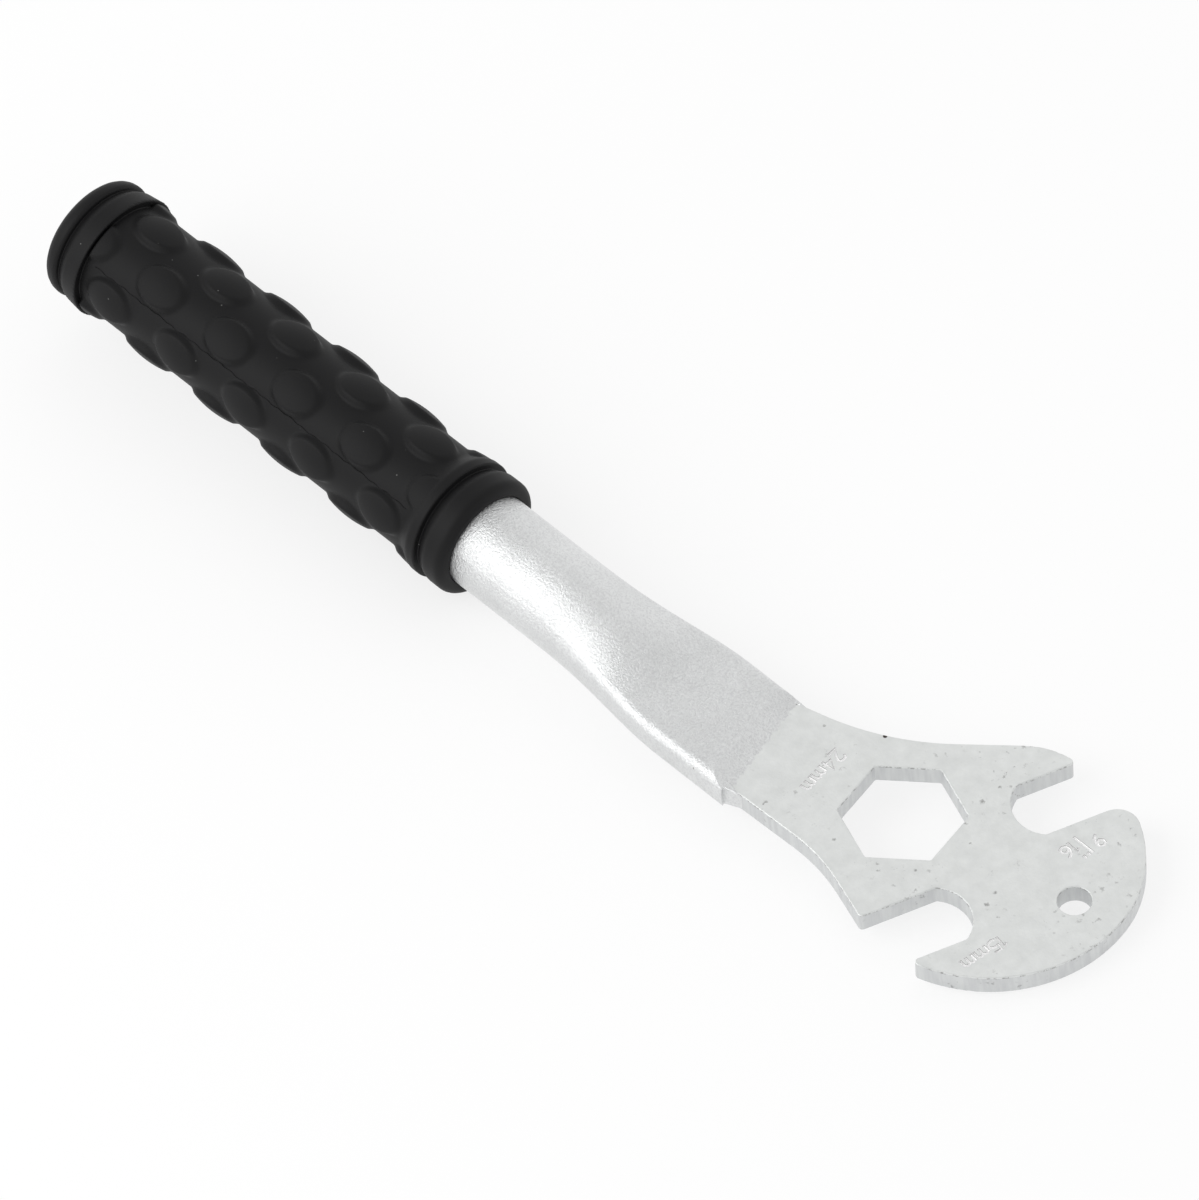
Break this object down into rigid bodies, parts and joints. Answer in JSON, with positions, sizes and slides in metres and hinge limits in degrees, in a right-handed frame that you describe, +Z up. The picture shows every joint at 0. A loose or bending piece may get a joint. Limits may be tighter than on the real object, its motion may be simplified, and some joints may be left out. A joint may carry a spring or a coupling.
{
  "type": "pedal wrench",
  "caption": "Bicycle pedal wrench: flat plated steel head with open jaws, a hexagon and a hang hole, on a flattened steel tube with a black rubber grip.",
  "frame": {"origin": "on the ground under the middle of the bounding box, with the wrench lying at rest on its grip collar and the tip of its head", "axes": "+X along the handle towards the head, +Y across the head towards the 9/16 inch jaw, +Z up from the ground; the head's flat face looks along the hang hole's axis, four degrees off +Z"},
  "size_m": [0.2958, 0.0614, 0.0373],
  "materials": {
    "plate_steel": "satin zinc plate with small pits",
    "tube_steel": "grainy zinc plate",
    "grip_rubber": "satin moulded rubber"
  },
  "bodies": {
    "root": {"head_plate": "plate_steel", "handle_tube": "tube_steel", "grip": "grip_rubber"}
  },
  "joints": []
}
